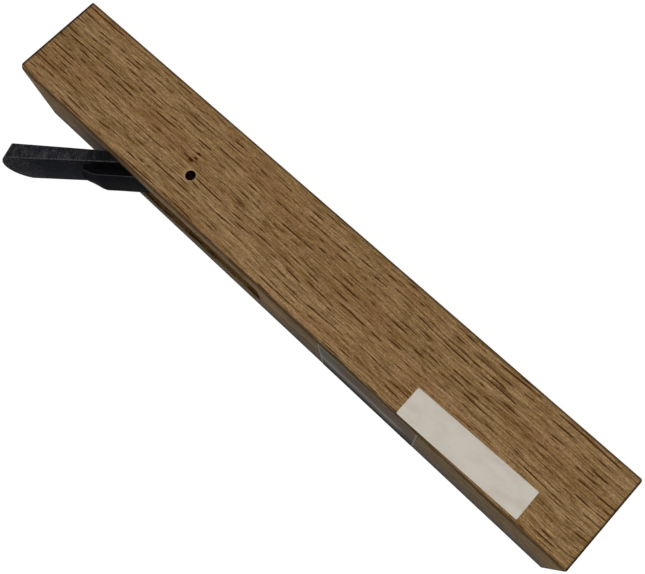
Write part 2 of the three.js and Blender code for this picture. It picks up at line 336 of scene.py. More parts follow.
class Finish:
    """A finish makes one material, once. Its bump is a depth in millimetres and a strength."""

    name: str = "finish"
    bump: tuple[float, float] = (0.0, 0.0)

    def dress(self, surface: Surface) -> None:
        """Builds the finish's nodes on a surface."""
        raise NotImplementedError

    def material(self) -> bpy.types.Material:
        """The material, made the first time that it is asked for.

        Returns:
            The material.
        """
        found = bpy.data.materials.get(self.name)
        if found is None:
            surface = Surface(self.name)
            self.dress(surface)
            found = surface.material
        return found


@dataclass(frozen=True)
class PoreRows:
    """Broken lines of pores, one to a growth ring, in millimetres or shares of the ring.

    Each line keeps to a place between nearest and nearest + spread of its ring, and shows where a noise
    along the grain passes its bar.
    """

    ring: float
    half_line: float
    run: float
    bar: float
    strength: float
    faint: float
    nearest: float = 0.25
    spread: float = 0.5
    core: float = 0.4
    blur: float = 1.4
    fade: float = 0.18
    apart: float = 7.31

    def draw(self, surface: Surface, grain: Socket, radius: Socket) -> Socket:
        """Draws the lines.

        Args:
            surface: The surface that is dressed.
            grain: The place along the grain.
            radius: The distance from the pith.

        Returns:
            How dark the pores are, from 0 to 1.
        """
        turn = surface.calc("DIVIDE", radius, self.ring)
        row = surface.calc("FLOOR", turn)
        lot = surface.node("TexWhiteNoise", noise_dimensions="1D")
        surface.give(lot, "W", row)
        centre = surface.calc("MULTIPLY_ADD", lot.outputs["Value"], self.spread, self.nearest)
        half = self.half_line / self.ring
        off = surface.off(surface.calc("FRACT", turn), centre)
        line = surface.step(off, Ramp(half * self.blur, half * self.core))
        beat_place = surface.joined(surface.axes(grain)["X"], surface.times(row, self.apart))
        beat = surface.cloud(Grain((self.run, 1.0, 1.0)), beat_place)
        held = surface.step(beat, Ramp(self.bar, self.bar + self.fade, self.faint, self.strength))
        return surface.times(line, held)


@dataclass(frozen=True)
class PlanedOak(Finish):
    """Bare planed oak, rift-sawn: broken lines of dark pores along the grain over soft bands of colour.

    Its zones are painted shade: the top darker and cooler to its far side, tail half and near edge, darker
    on its far rim and cheek beside the throat and round the iron, and a dark throat.
    """

    name: str = "planed_oak"
    early: Colour = from_srgb(164, 134, 96)
    late: Colour = from_srgb(103, 75, 34)
    ruddy: Colour = from_srgb(128, 91, 57)
    pore: Colour = from_srgb(58, 29, 4)
    # Painted shade: the near-black brown laid along the block's outer edges, as rounded arrises in shade.
    edge_shade: Colour = from_srgb(22, 16, 11)
    # The colour that the wall of the pin's hole is given: nearly black.
    hole_wall_dark: Colour = from_srgb(16, 5, 3)
    sway: Grain = Grain((56.0, 22.0, 22.0), 1.0)
    sway_reach: float = 3.0
    ripple: Grain = Grain((10.0, 4.0, 4.0), 1.0)
    ripple_reach: float = 0.4
    bands: Grain = Grain((90.0, 5.0, 5.0))
    band_light: Ramp = Ramp(0.3, 0.7, 0.0, 0.26)
    fibres: Grain = Grain((8.5, 0.38, 0.38), 2.0, 0.6)
    fibre_light: Ramp = Ramp(0.3, 0.7, 0.0, 0.74)
    blush: Grain = Grain((50.0, 9.0, 9.0), 1.0)
    blush_share: Ramp = Ramp(0.45, 0.7, 0.0, 0.42)
    flecks: Grain = Grain((0.7, 0.4, 0.4), 2.0, 0.6)
    fleck_tone: Ramp = Ramp(0.25, 0.75, 0.68, 1.3)
    fleck_edge_shade: Ramp = Ramp(0.3, 0.7, 0.75, 1.0)
    pith: Point = (0.0, 110.0, -90.0)
    pores: tuple[PoreRows, ...] = (
        PoreRows(1.7, 0.24, 8.5, 0.45, 1.0, 0.2),
        PoreRows(1.0, 0.17, 6.5, 0.49, 0.8, 0.12),
        PoreRows(0.61, 0.12, 4.5, 0.5, 0.45, 0.1),
    )
    pore_share: float = 0.94
    pore_roughness: Ramp = Ramp(0.0, 1.0, 0.66, 0.85)
    fibre_height: float = 0.25
    bump: tuple[float, float] = (0.08, 0.5)
    shine: float = 0.03
    hole: Point = (-50.6, 18.0, 25.6)
    rubbed: Ramp = Ramp(3.6, 2.2, 0.0, 0.35)
    marks: tuple[Point, ...] = ((-55.0, 21.2, 0.9), (-54.0, 19.3, 0.65), (-54.3, 17.4, 0.7))
    mark_squeeze: Point = (0.5, 1.0, 1.0)
    mark_core: float = 0.3
    half_size: Point = (BLOCK_LENGTH / 2, BLOCK_WIDTH / 2, BLOCK_HEIGHT / 2)
    edge_bands: Point = (1.4, 1.0, 1.1)
    edge_core: float = 0.55
    head_more: float = 0.3
    end_edge_shade: float = 0.95
    long_edge_shade: float = 0.7
    skin: Reach = Reach("Z", Ramp(BLOCK_HEIGHT - 1.0, BLOCK_HEIGHT - 0.3))
    # Painted shade on the top: darker and cooler to its far side, over its tail half and by its near edge.
    far_top_shade: Colour = (0.4, 0.46, 0.55)
    far_top_shade_zone: Reach = Reach("Y", Ramp(14.0, -20.0))
    tail_top_shade: Colour = (0.7, 0.78, 0.84)
    tail_top_shade_zone: tuple[Reach, ...] = (Reach("X", Ramp(0.0, 16.0)), Reach("X", Ramp(134.0, 84.0, 0.45, 1.0)))
    near_edge_shade_zone: Reach = Reach("Y", Ramp(12.0, 17.5, 0.0, 0.5))
    # Painted shade on the top's far rim and cheek beside the throat.
    far_rim_shade: Colour = (0.4, 0.4, 0.38)
    far_rim_shade_zone: tuple[Reach, ...] = (
        Reach("Y", Ramp(-8.5, -15.0, 0.0, 0.7)),
        Reach("X", Ramp(35.0, 52.0, 0.5, 1.0), -45.0),
    )
    far_cheek_shade_zone: tuple[Reach, ...] = (
        Reach("Y", Ramp(-6.0, -10.0, 0.0, 0.5)),
        Reach("X", Ramp(42.0, 22.0), -45.0),
    )
    # Painted shade round the iron where it stands out of the top, with its edge broken by a noise.
    iron_shade: Colour = (0.1, 0.06, 0.0)
    iron_leaves: float = -86.0
    iron_shade_noise: Grain = Grain((9.0, 5.0, 5.0))
    iron_shade_reach: float = 16.0
    iron_shade_along: Ramp = Ramp(32.0, 4.0)
    iron_shade_across: Reach = Reach("Y", Ramp(20.0, 7.0), 0.0)
    # Painted shade inside the throat.
    throat_shade: Colour = (0.3, 0.28, 0.2)
    throat_shade_zone: tuple[Reach, ...] = (
        Reach("Y", Ramp(10.6, 9.9), 0.0),
        Reach("Z", Ramp(0.4, 1.4)),
        Reach("Z", Ramp(BLOCK_HEIGHT - 0.1, BLOCK_HEIGHT - 0.9)),
        Reach("X", Ramp(62.0, 56.0), -35.0),
    )

    def dress(self, surface: Surface) -> None:
        """Builds the wood's bands, fibres, rows of pores and marks, with painted shade on its edges, top and
        throat.

        Args:
            surface: The surface that is dressed.
        """
        sway = self.lean(surface, self.sway, self.sway_reach)
        ripple = self.lean(surface, self.ripple, self.ripple_reach)
        grain = surface.vector("ADD", surface.vector("ADD", surface.place, sway), ripple)
        bands = surface.step(surface.cloud(self.bands, grain), self.band_light)
        fibres = surface.cloud(self.fibres, grain)
        flecks = surface.cloud(self.flecks, grain)
        light = surface.calc("ADD", bands, surface.step(fibres, self.fibre_light))
        colour = surface.blend(light, self.late, self.early)
        blush = surface.step(surface.cloud(self.blush, grain), self.blush_share)
        colour = surface.blend(blush, colour, self.ruddy)
        colour = surface.shaded(colour, surface.step(flecks, self.fleck_tone))

        across = surface.vector("MULTIPLY", surface.vector("SUBTRACT", grain, self.pith), (0.0, 1.0, 1.0))
        radius = surface.vector("LENGTH", across)
        dark = surface.most(*(rows.draw(surface, grain, radius) for rows in self.pores))
        colour = surface.blend(surface.times(dark, self.pore_share), colour, self.pore)
        colour = self.marked(surface, colour)
        # Painted shade along the outer edges, broken up by the flecks.
        edge_shade = surface.times(self.edges(surface), surface.step(flecks, self.fleck_edge_shade))
        colour = surface.blend(edge_shade, colour, self.edge_shade)
        # The wall of the pin's hole is made nearly black.
        colour = surface.blend(surface.attribute(HOLLOW_AND_SHADE), colour, self.hole_wall_dark)
        # Multiplies in the painted shade of the top, round the iron and in the throat.
        for share, tint in self.top_and_throat_shade(surface):
            colour = surface.blend(share, colour, tint, "MULTIPLY")

        rough = surface.step(dark, self.pore_roughness)
        surface.plain(Base_Color=colour, Roughness=rough, Specular_IOR_Level=self.shine)
        height = surface.calc("SUBTRACT", surface.times(fibres, self.fibre_height), dark)
        surface.relief(height, *self.bump)

    def lean(self, surface: Surface, grain: Grain, reach: float) -> Socket:
        """How far the grain leans off its own line.

        Args:
            surface: The surface that is dressed.
            grain: The grains of the noise that bends it.
            reach: How far it is bent across, from end to end.

        Returns:
            The way from the straight line.
        """
        noise = surface.cloud(grain, output="Color")
        least = -reach * NOISE_MIDDLE
        return surface.vector("MULTIPLY_ADD", noise, (0.0, reach, reach), (0.0, least, least))

    def marked(self, surface: Surface, colour: Socket) -> Socket:
        """Rubs the wood round the pin's hole and sets the dark marks beside it.

        Args:
            surface: The surface that is dressed.
            colour: The wood's colour.

        Returns:
            The marked colour.
        """
        to_hole = surface.vector("LENGTH", surface.vector("SUBTRACT", surface.place, self.hole))
        colour = surface.blend(surface.step(to_hole, self.rubbed), colour, self.early)
        for x, z, size in self.marks:
            to_mark = surface.vector("SUBTRACT", surface.place, (x, self.half_size[1], z))
            away = surface.vector("LENGTH", surface.vector("MULTIPLY", to_mark, self.mark_squeeze))
            colour = surface.blend(surface.step(away, Ramp(size, self.mark_core * size)), colour, self.pore)
        return colour

    def top_and_throat_shade(self, surface: Surface) -> tuple[tuple[Socket, Colour], ...]:
        """Painted shade on the top's far side, tail and near edge, far rim, round the iron, and in the
        throat.

        Args:
            surface: The surface that is dressed.

        Returns:
            The share and the colour of each tint.
        """
        skin = surface.within(self.skin)
        # Painted shade round the iron: darkest where the iron leaves the top, fading along and across.
        off = surface.off(surface.axes(surface.place)["X"], self.iron_leaves)
        painted_shade = surface.step(surface.wander(off, self.iron_shade_noise, self.iron_shade_reach), self.iron_shade_along)
        tail_and_near_shade = surface.most(surface.within(*self.tail_top_shade_zone), surface.within(self.near_edge_shade_zone))
        # The share of the painted shade on the far rim and cheek.
        rim = surface.most(surface.within(*self.far_rim_shade_zone), surface.within(*self.far_cheek_shade_zone))
        # Each pair is the share and the colour of a painted shade, multiplied onto the wood.
        return (
            (surface.times(skin, surface.within(self.far_top_shade_zone)), self.far_top_shade),
            (surface.times(skin, tail_and_near_shade), self.tail_top_shade),
            (surface.times(skin, rim), self.far_rim_shade),
            (surface.times(skin, painted_shade, surface.within(self.iron_shade_across)), self.iron_shade),
            (surface.within(*self.throat_shade_zone), self.throat_shade),
        )

    def edges(self, surface: Surface) -> Socket:
        """How much painted shade darkens the block's outer edges, as rounded arrises turned from the light.

        Args:
            surface: The surface that is dressed.

        Returns:
            The share of the grime.
        """
        middle = surface.vector("SUBTRACT", surface.place, (self.head_more, 0.0, self.half_size[2]))
        apart = surface.axes(surface.vector("ABSOLUTE", middle))
        along, across, high = (
            surface.step(apart[axis], Ramp(half - band, half - self.edge_core * band))
            for axis, (half, band) in enumerate(zip(self.half_size, self.edge_bands))
        )
        ends = surface.times(along, surface.most(across, high), self.end_edge_shade)
        return surface.most(ends, surface.times(across, high, self.long_edge_shade))


@dataclass(frozen=True)
class ForgeScale(Finish):
    """Dark iron as it left the forge: blue-black scale, with edges and scratches rubbed to metal.

    The head is dusty from head_from on, and up to a set height the foot is painted with shade: its sides
    where they go into the block and its face under the breaker. Both are measured up the iron from the
    frame's origin.
    """

    name: str = "forge_scale"
    scale: Colour = from_srgb(18, 19, 23)
    blue: Colour = from_srgb(28, 30, 38)
    brown: Colour = from_srgb(46, 42, 40)
    dust: Colour = from_srgb(90, 86, 87)
    bare: Colour = from_srgb(104, 103, 104)
    # Painted shade: the near-black put on the foot and on marked faces.
    painted_shade: Colour = from_srgb(7, 7, 8)
    shine: float = 0.008
    clouds: Grain = Grain((7.0, 7.0, 7.0), 4.0, 0.6)
    blue_share: Ramp = Ramp(0.38, 0.66)
    roughness: Ramp = Ramp(0.3, 0.7, 0.46, 0.64)
    stains: Grain = Grain((3.1, 3.1, 3.1), 3.0)
    brown_share: Ramp = Ramp(0.5, 0.72, 0.0, 0.5)
    grit: Grain = Grain((0.5, 0.5, 0.5), 2.0, 0.7)
    strokes: Grain = Grain((0.5, 5.0, 3.0), 3.0, 0.7)
    grit_dust: Ramp = Ramp(0.36, 0.7)
    stain_dust: Ramp = Ramp(0.3, 0.66, 0.25, 0.8)
    stroke_dust: Ramp = Ramp(0.38, 0.6, 0.15, 1.25)
    side: Reach = Reach("Y", Ramp(8.8, 9.2), 0.0)
    side_dust: float = 0.7
    head_from: float = 122.0
    head: Ramp = Ramp(-4.0, 8.0)
    # Painted shade on the foot: the sides darken where they go into the block, the face under the breaker.
    shade_until: float = 101.0
    side_shade_ramp: Ramp = Ramp(4.0, -9.0, 0.0, 0.75)
    face_shade_ramp: Ramp = Ramp(0.0, -5.0, 0.0, 0.9)
    scratches: Ramp = Ramp(0.58, 0.74)
    rub: float = 0.1
    edge_rub: Ramp = Ramp(0.3, 0.65, 0.04, 0.38)
    metal: float = 0.25
    grit_height: float = 0.35
    bump: tuple[float, float] = (0.16, 0.55)

    def dress(self, surface: Surface) -> None:
        """Builds the scale, stains, scratches, dusty sides and bare edges, and painted shade on the foot and
        marked faces.

        Args:
            surface: The surface that is dressed.
        """
        along, high = math.cos(BED_ANGLE), math.sin(BED_ANGLE)
        up_iron = surface.vector("DOT_PRODUCT", surface.place, (-along, 0.0, high))
        off_bed = surface.vector("DOT_PRODUCT", surface.place, (high, 0.0, along))
        across = surface.off(surface.axes(surface.place)["Y"], 0.0)
        clouds, stains, grit = (surface.cloud(grain) for grain in (self.clouds, self.stains, self.grit))
        strokes = surface.cloud(self.strokes, surface.joined(up_iron, off_bed, across))
        side = surface.within(self.side)
        face = surface.calc("SUBTRACT", 1.0, side)

        colour = surface.blend(surface.step(clouds, self.blue_share), self.scale, self.blue)
        colour = surface.blend(surface.step(stains, self.brown_share), colour, self.brown)
        gritty = surface.times(surface.step(grit, self.grit_dust), surface.step(stains, self.stain_dust))
        gritty = surface.times(gritty, surface.step(strokes, self.stroke_dust))
        head = surface.step(up_iron, self.head.moved(self.head_from))
        dusty = surface.times(surface.most(surface.times(side, self.side_dust), head), gritty)
        colour = surface.blend(dusty, colour, self.dust)
        # Painted shade on the foot's sides and face.
        for ramp, where in ((self.side_shade_ramp, side), (self.face_shade_ramp, face)):
            shade_share = surface.times(surface.step(up_iron, ramp.moved(self.shade_until)), where)
            colour = surface.blend(shade_share, colour, self.painted_shade)
        rubbed = surface.times(surface.step(strokes, self.scratches), self.rub)
        edges = surface.times(surface.attribute(WEAR), surface.step(grit, self.edge_rub))
        bare = surface.most(rubbed, edges)
        colour = surface.blend(bare, colour, self.bare)
        # Painted shade: marked faces, the breaker's sides, go near black as the shaded gap under the plate.
        colour = surface.blend(surface.attribute(HOLLOW_AND_SHADE), colour, self.painted_shade)

        surface.plain(Base_Color=colour, Metallic=surface.times(bare, self.metal))
        surface.plain(Roughness=surface.step(clouds, self.roughness), Specular_IOR_Level=self.shine)
        surface.relief(surface.calc("MULTIPLY_ADD", grit, self.grit_height, clouds), *self.bump)


@dataclass(frozen=True)
class GroundSteel(Finish):
    """Hard steel, ground lengthwise and left bare, with a duller hollow."""

    name: str = "ground_steel"
    steel: Colour = from_srgb(150, 152, 156)
    shade: Colour = from_srgb(104, 106, 112)
    hollow: Colour = from_srgb(74, 76, 83)
    lines: Grain = Grain((6.0, 0.12, 6.0), 3.0, 0.65)
    line_light: Ramp = Ramp(0.3, 0.7)
    line_roughness: Ramp = Ramp(0.3, 0.7, 0.24, 0.4)
    tarnish: Grain = Grain((5.0, 5.0, 5.0), 3.0)
    tarnish_share: Ramp = Ramp(0.45, 0.75, 0.0, 0.5)
    hollow_share: Ramp = Ramp(0.25, 0.75, 0.95, 0.6)
    hollow_roughness: float = 0.2
    bump: tuple[float, float] = (0.02, 0.5)

    def dress(self, surface: Surface) -> None:
        """Builds the grinding lines, a slight tarnish and the hollow.

        Args:
            surface: The surface that is dressed.
        """
        lines = surface.cloud(self.lines)
        colour = surface.blend(surface.step(lines, self.line_light), self.shade, self.steel)
        tarnish = surface.step(surface.cloud(self.tarnish), self.tarnish_share)
        colour = surface.blend(tarnish, colour, self.shade)
        ground = surface.times(surface.attribute(HOLLOW_AND_SHADE), surface.step(lines, self.hollow_share))
        colour = surface.blend(ground, colour, self.hollow)
        rough = surface.step(lines, self.line_roughness)
        rough = surface.calc("MULTIPLY_ADD", ground, self.hollow_roughness, rough)
        surface.plain(Base_Color=colour, Metallic=1.0, Roughness=rough)
        surface.relief(lines, *self.bump)


@dataclass(frozen=True)
class DullWire(Finish):
    """The pin's wire, browned by handling and rust."""

    name: str = "dull_wire"
    dark: Colour = from_srgb(13, 4, 4)
    rust: Colour = from_srgb(30, 11, 8)
    spots: Grain = Grain((0.9, 0.9, 0.9), 3.0)
    rust_share: Ramp = Ramp(0.4, 0.65)
    roughness: Ramp = Ramp(0.3, 0.7, 0.5, 0.75)
    shine: float = 0.03
    bump: tuple[float, float] = (0.04, 0.6)

    def dress(self, surface: Surface) -> None:
        """Builds the browning.

        Args:
            surface: The surface that is dressed.
        """
        spots = surface.cloud(self.spots)
        colour = surface.blend(surface.step(spots, self.rust_share), self.dark, self.rust)
        rough = surface.step(spots, self.roughness)
        surface.plain(Base_Color=colour, Specular_IOR_Level=self.shine, Roughness=rough)
        surface.relief(spots, *self.bump)


@dataclass(frozen=True)
class StickerPaper(Finish):
    """Matt off-white paper, a little soiled."""

    name: str = "sticker_paper"
    white: Colour = from_srgb(199, 192, 181)
    soil: Colour = from_srgb(180, 170, 155)
    patches: Grain = Grain((9.0, 9.0, 4.0), 3.0)
    patch_share: Ramp = Ramp(0.35, 0.8, 0.0, 0.6)
    fibres: Grain = Grain((0.5, 0.5, 0.12), 3.0)
    fibre_share: Ramp = Ramp(0.55, 0.8, 0.0, 0.2)
    roughness: float = 0.78
    shine: float = 0.1
    bump: tuple[float, float] = (0.015, 0.4)

    def dress(self, surface: Surface) -> None:
        """Builds the paper's fibres and soiling.

        Args:
            surface: The surface that is dressed.
        """
        patches = surface.step(surface.cloud(self.patches), self.patch_share)
        fibres = surface.cloud(self.fibres)
        colour = surface.blend(patches, self.white, self.soil)
        colour = surface.blend(surface.step(fibres, self.fibre_share), colour, self.soil)
        surface.plain(Base_Color=colour, Roughness=self.roughness, Specular_IOR_Level=self.shine)
        surface.relief(fibres, *self.bump)


@dataclass(frozen=True)
class GlossFilm(Finish):
    """A plastic film over the wood, slightly wrinkled lengthwise, with a painted reflection streaked along
    its middle.
    """

    name: str = "gloss_film"
    film: Colour = from_srgb(121, 108, 96)
    cool: Colour = from_srgb(119, 118, 108)
    # Painted shade: greyer to the film's outer side, with a dark rim along its outer edge.
    outer: Colour = from_srgb(107, 103, 100)
    rim: Colour = from_srgb(70, 68, 66)
    # Painted reflection: the light streak along the film's middle.
    reflection_streak: Colour = from_srgb(152, 145, 138)
    # Painted highlight on the film's cut ends.
    cut: Colour = from_srgb(176, 174, 160)
    wrinkles: Grain = Grain((26.0, 2.2, 2.2))
    wrinkle_tone: Ramp = Ramp(0.25, 0.75, 0.82, 1.14)
    roughness: Ramp = Ramp(0.3, 0.7, 0.3, 0.44)
    drift: Grain = Grain((19.0, 90.0, 90.0), 1.0)
    drift_reach: float = 5.0
    cool_end: Reach = Reach("X", Ramp(40.5, 33.5))
    outer_shade_side: Ramp = Ramp(1.0, -7.0)
    reflection_streak_at: float = -0.8
    reflection_streak_width: Ramp = Ramp(6.2, 0.4)
    reflection_streak_end: Reach = Reach("X", Ramp(70.5, 63.5))
    rim_shade_side: Ramp = Ramp(-7.5, -13.0)
    cut_end_highlight: Reach = Reach("X", Ramp(22.1, 22.5, 0.0, 0.5), 50.5)
    bump: tuple[float, float] = (0.12, 0.5)

    def dress(self, surface: Surface) -> None:
        """Builds the streaks, wrinkles and cut ends.

        Args:
            surface: The surface that is dressed.
        """
        wrinkles = surface.cloud(self.wrinkles)
        y = surface.wander(surface.axes(surface.place)["Y"], self.drift, self.drift_reach)
        band = surface.step(surface.off(y, self.reflection_streak_at), self.reflection_streak_width)
        colour = surface.blend(surface.within(self.cool_end), self.film, self.cool)
        for share, tone in (
            # Painted shade to the outer side.
            (surface.step(y, self.outer_shade_side), self.outer),
            # Painted reflection along the middle.
            (surface.times(band, surface.within(self.reflection_streak_end)), self.reflection_streak),
            # Painted shade along the outer rim.
            (surface.step(y, self.rim_shade_side), self.rim),
        ):
            colour = surface.blend(share, colour, tone)
        colour = surface.shaded(colour, surface.step(wrinkles, self.wrinkle_tone))
        # Painted highlight at both cut ends.
        colour = surface.blend(surface.within(self.cut_end_highlight), colour, self.cut)
        rough = surface.step(wrinkles, self.roughness)
        surface.plain(Base_Color=colour, Roughness=rough, Specular_IOR_Level=0.0)
        surface.relief(wrinkles, *self.bump)


@dataclass(frozen=True)
class PaleFloor(Finish):
    """A pale floor that reads white to the camera, keeps a soft shadow and is clear from below.

    At the block's foot it stops no light, so that the sole isn't dark when it is seen from below.
    """

    name: str = "pale_floor"
    paint: Colour = (0.82, 0.82, 0.82)
    dimmer: Colour = (0.8, 0.8, 0.8)
    speckle: Grain = Grain((40.0, 40.0, 40.0))
    speckle_share: Ramp = Ramp(0.3, 0.7, 0.0, 0.03)
    roughness: float = 0.9
    shown: float = 0.75
    white: float = 1.24
    foot: tuple[Reach, ...] = (Reach("X", Ramp(134.0, 133.0), 0.0), Reach("Y", Ramp(17.0, 16.0), 0.0))

    def dress(self, surface: Surface) -> None:
        """Mixes the lit paint with a plain white for what the camera and the reflections see.

        Args:
            surface: The surface that is dressed.
        """
        speckle = surface.step(surface.cloud(self.speckle), self.speckle_share)
        colour = surface.blend(speckle, self.paint, self.dimmer)
        surface.plain(Base_Color=colour, Roughness=self.roughness, Specular_IOR_Level=0.0)
        under = surface.within(*self.foot)
        seen = surface.times(surface.seen(), surface.calc("SUBTRACT", 1.0, under), self.shown)
        glow = surface.node("Emission", WHITE, self.white).outputs[0]
        top = surface.mixed(seen, surface.shader.outputs[0], glow)
        to_camera = surface.node("LightPath").outputs["Is Camera Ray"]
        indirect = surface.times(under, surface.calc("SUBTRACT", 1.0, to_camera))
        behind = surface.node("NewGeometry").outputs["Backfacing"]
        clear = surface.node("BsdfTransparent").outputs[0]
        both = surface.mixed(surface.most(behind, indirect), top, clear)
        surface.give(surface.output, "Surface", both)


class Shape:
    """A mesh under construction in millimetres, in the frame of the piece that it becomes."""

    def __init__(self) -> None:
        """Starts an empty mesh."""
        self.mesh = bmesh.new()

    def outline(self, corners: Iterable[tuple[float, float]]) -> list[Vertex]:
        """The vertices of corners in X and Y, at height 0."""
        return [self.mesh.verts.new((x, y, 0.0)) for x, y in corners]

    def arc(self, start: Vertex, centre: tuple[float, float], angle: float, steps: int) -> list[Vertex]:
        """Spins a vertex about an upright axis.

        Args:
            start: The first vertex of the arc.
            centre: The arc's centre in X and Y.
            angle: The turn, against the clock when seen from above.
            steps: The number of edges.

        Returns:
            The arc's vertices, from the first to the last.
        """
        spun = bmesh.ops.spin(
            self.mesh,
            geom=[start],
            cent=(*centre, 0.0),
            axis=UPRIGHT,
            dvec=(0.0, 0.0, 0.0),
            angle=angle,
            steps=steps,
            use_merge=False,
            use_duplicate=False,
        )
        last = next(item for item in spun["geom_last"] if isinstance(item, Vertex))
        chain = [start]
        while chain[-1] is not last:
            onward = [edge.other_vert(chain[-1]) for edge in chain[-1].link_edges]
            chain.append(next(vertex for vertex in onward if vertex not in chain))
        return chain

    def prism(self, ring: list[Vertex], height: float, low: float = 0.0) -> None:
        """Closes a ring of vertices and draws it up to a height.

        Args:
            ring: The vertices in order.
            height: The height of the prism.
            low: The height at which it starts.
        """
        floor = self.mesh.faces.new(ring)
        drawn = bmesh.ops.extrude_face_region(self.mesh, geom=[floor], use_keep_orig=True)
        top = [item for item in drawn["geom"] if isinstance(item, Vertex)]
        bmesh.ops.translate(self.mesh, vec=(0.0, 0.0, height), verts=top)
        bmesh.ops.translate(self.mesh, vec=(0.0, 0.0, low), verts=self.mesh.verts[:])
        self.face_out()

    def shave(self, point: Point, outward: Point) -> None:
        """Cuts off all that lies beyond a plane and closes the cut.

        Args:
            point: A point on the plane.
            outward: The direction of what is taken off.
        """
        cut = bmesh.ops.bisect_plane(
            self.mesh,
            geom=self.mesh.verts[:] + self.mesh.edges[:] + self.mesh.faces[:],
            dist=CUT_TOLERANCE,
            plane_co=point,
            plane_no=outward,
            clear_outer=True,
        )
        rim = [item for item in cut["geom_cut"] if isinstance(item, bmesh.types.BMEdge)]
        if rim:
            bmesh.ops.edgenet_fill(self.mesh, edges=rim)
        self.face_out()

    def face_out(self) -> None:
        """Turns every face outwards."""
        bmesh.ops.recalc_face_normals(self.mesh, faces=self.mesh.faces[:])

    def attribute(self, name: str) -> bmesh.types.BMLayerItem:
        """The faces' attribute of this name, made where there is none yet."""
        floats = self.mesh.faces.layers.float
        return floats.get(name) or floats.new(name)

    def ease_edges(self, width: float, sharper_than: float, segments: int = 2) -> None:
        """Rounds the sharp edges and marks the rounds as worn.

        Args:
            width: The bevel's width in millimetres.
            sharper_than: The least angle between two faces of an edge that is rounded, in degrees.
            segments: The number of steps in the round.
        """
        sharp = [
            edge
            for edge in self.mesh.edges
            if len(edge.link_faces) == 2 and edge.calc_face_angle() > math.radians(sharper_than)
        ]
        wear = self.attribute(WEAR)
        rounded = bmesh.ops.bevel(
            self.mesh,
            geom=sharp,
            offset=width,
            offset_type="OFFSET",
            affect="EDGES",
            segments=segments,
            profile=0.5,
            material=-1,
            clamp_overlap=True,
        )
        for face in rounded["faces"]:
            face[wear] = 1.0

    def mark(self, name: str, level: float, chosen: Callable[[Face], bool]) -> None:
        """Marks faces for their finish.

        Args:
            name: The attribute's name.
            level: What the faces carry.
            chosen: Whether a face is marked.
        """
        attribute = self.attribute(name)
        for face in self.mesh.faces:
            if chosen(face):
                face[attribute] = level

    def place(self, matrix: Matrix) -> None:
        """Moves the whole shape."""
        bmesh.ops.transform(self.mesh, matrix=matrix, verts=self.mesh.verts[:])

    def finish(self, name: str, smooth_below: float = 35.0) -> bpy.types.Object:
        """Makes the object, in metres and at the frame's origin.

        Args:
            name: The piece's name.
            smooth_below: Faces that meet at less than this angle are shaded as one surface.

        Returns:
            The object.
        """
        self.place(Matrix.Scale(MILLIMETRE, 4))
        data = bpy.data.meshes.new(name)
        self.mesh.to_mesh(data)
        self.mesh.free()
        piece = bpy.data.objects.new(name, data)
        bpy.context.scene.collection.objects.link(piece)
        data.shade_smooth()
        data.set_sharp_from_angle(angle=math.radians(smooth_below))
        return piece


def copy_of(data: bpy.types.Mesh, merge: float) -> Shape:
    """A copy of a mesh in millimetres, with its doubled vertices joined.

    Args:
        data: The mesh, in metres.
        merge: How near two vertices have to be to become one.

    Returns:
        The shape.
    """
    shape = Shape()
    shape.mesh.from_mesh(data)
    shape.place(Matrix.Scale(1 / MILLIMETRE, 4))
    bmesh.ops.remove_doubles(shape.mesh, verts=shape.mesh.verts[:], dist=merge)
    return shape


def pin_box() -> tuple[Vector, Vector]:
    """The low and the high corner of the pin's box in the frame, in millimetres."""
    low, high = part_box("pressure_pin")
    return Vector(low) / MILLIMETRE, Vector(high) / MILLIMETRE


def carve(piece: bpy.types.Object, tool: bpy.types.Object, kind: str = "DIFFERENCE") -> None:
    """Cuts a piece with a tool, for good, and throws the tool away.

    Args:
        piece: The piece that is cut.
        tool: The tool.
        kind: DIFFERENCE or INTERSECT.
    """
    cut = piece.modifiers.new("cut", "BOOLEAN")
    cut.operation = kind
    cut.solver = "EXACT"
    cut.object = tool
    bpy.context.view_layer.update()
    seen = piece.evaluated_get(bpy.context.evaluated_depsgraph_get())
    data = bpy.data.meshes.new_from_object(seen)
    piece.modifiers.clear()
    piece.data = data
    bpy.data.objects.remove(tool)


@dataclass
class Dressed:
    """A finished piece and what it stands for."""

    piece: bpy.types.Object
    body: Body
    slot: Slot
    finish: Finish
    stands_for: str

    def settle(self) -> bpy.types.Object:
        """Gives the piece its material and body, and hides the CAD node that it stands for.

        Returns:
            The piece.
        """
        self.piece.data.materials.clear()
        self.piece.data.materials.append(self.finish.material())
        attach(self.piece, self.body.value)
        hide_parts(self.stands_for)
        return self.piece


@dataclass
class IronSeat:
    """Where the iron lies in the block."""

    mouth_from_head: float = 102.4
    edge_retraction: float = 0.3
    length: float = 109.5
    head_thickness: float = 6.4
    taper: float = math.radians(2.13)

    @property
    def edge_thickness(self) -> float:
        """The iron's thickness at the foot of its face."""
        return self.head_thickness - self.length * math.tan(self.taper)

    @property
    def bed(self) -> Matrix:
        """The bed frame: X runs down the bed and Z stands off it.

        Returns:
            Its matrix.
        """
        back = self.edge_thickness
        foot_x = self.mouth_from_head - BLOCK_LENGTH / 2 - back * math.sin(BED_ANGLE)
        foot = Vector((foot_x, 0.0, self.edge_retraction - back * math.cos(BED_ANGLE)))
        return Matrix.Translation(foot) @ Matrix.Rotation(BED_ANGLE, 4, "Y")

    @property
    def face(self) -> Matrix:
        """The face frame, with its origin on the cutting edge and Z off the iron's face."""
        edge = Matrix.Translation((0.0, 0.0, self.edge_thickness))
        return self.bed @ edge @ Matrix.Rotation(self.taper, 4, "Y")


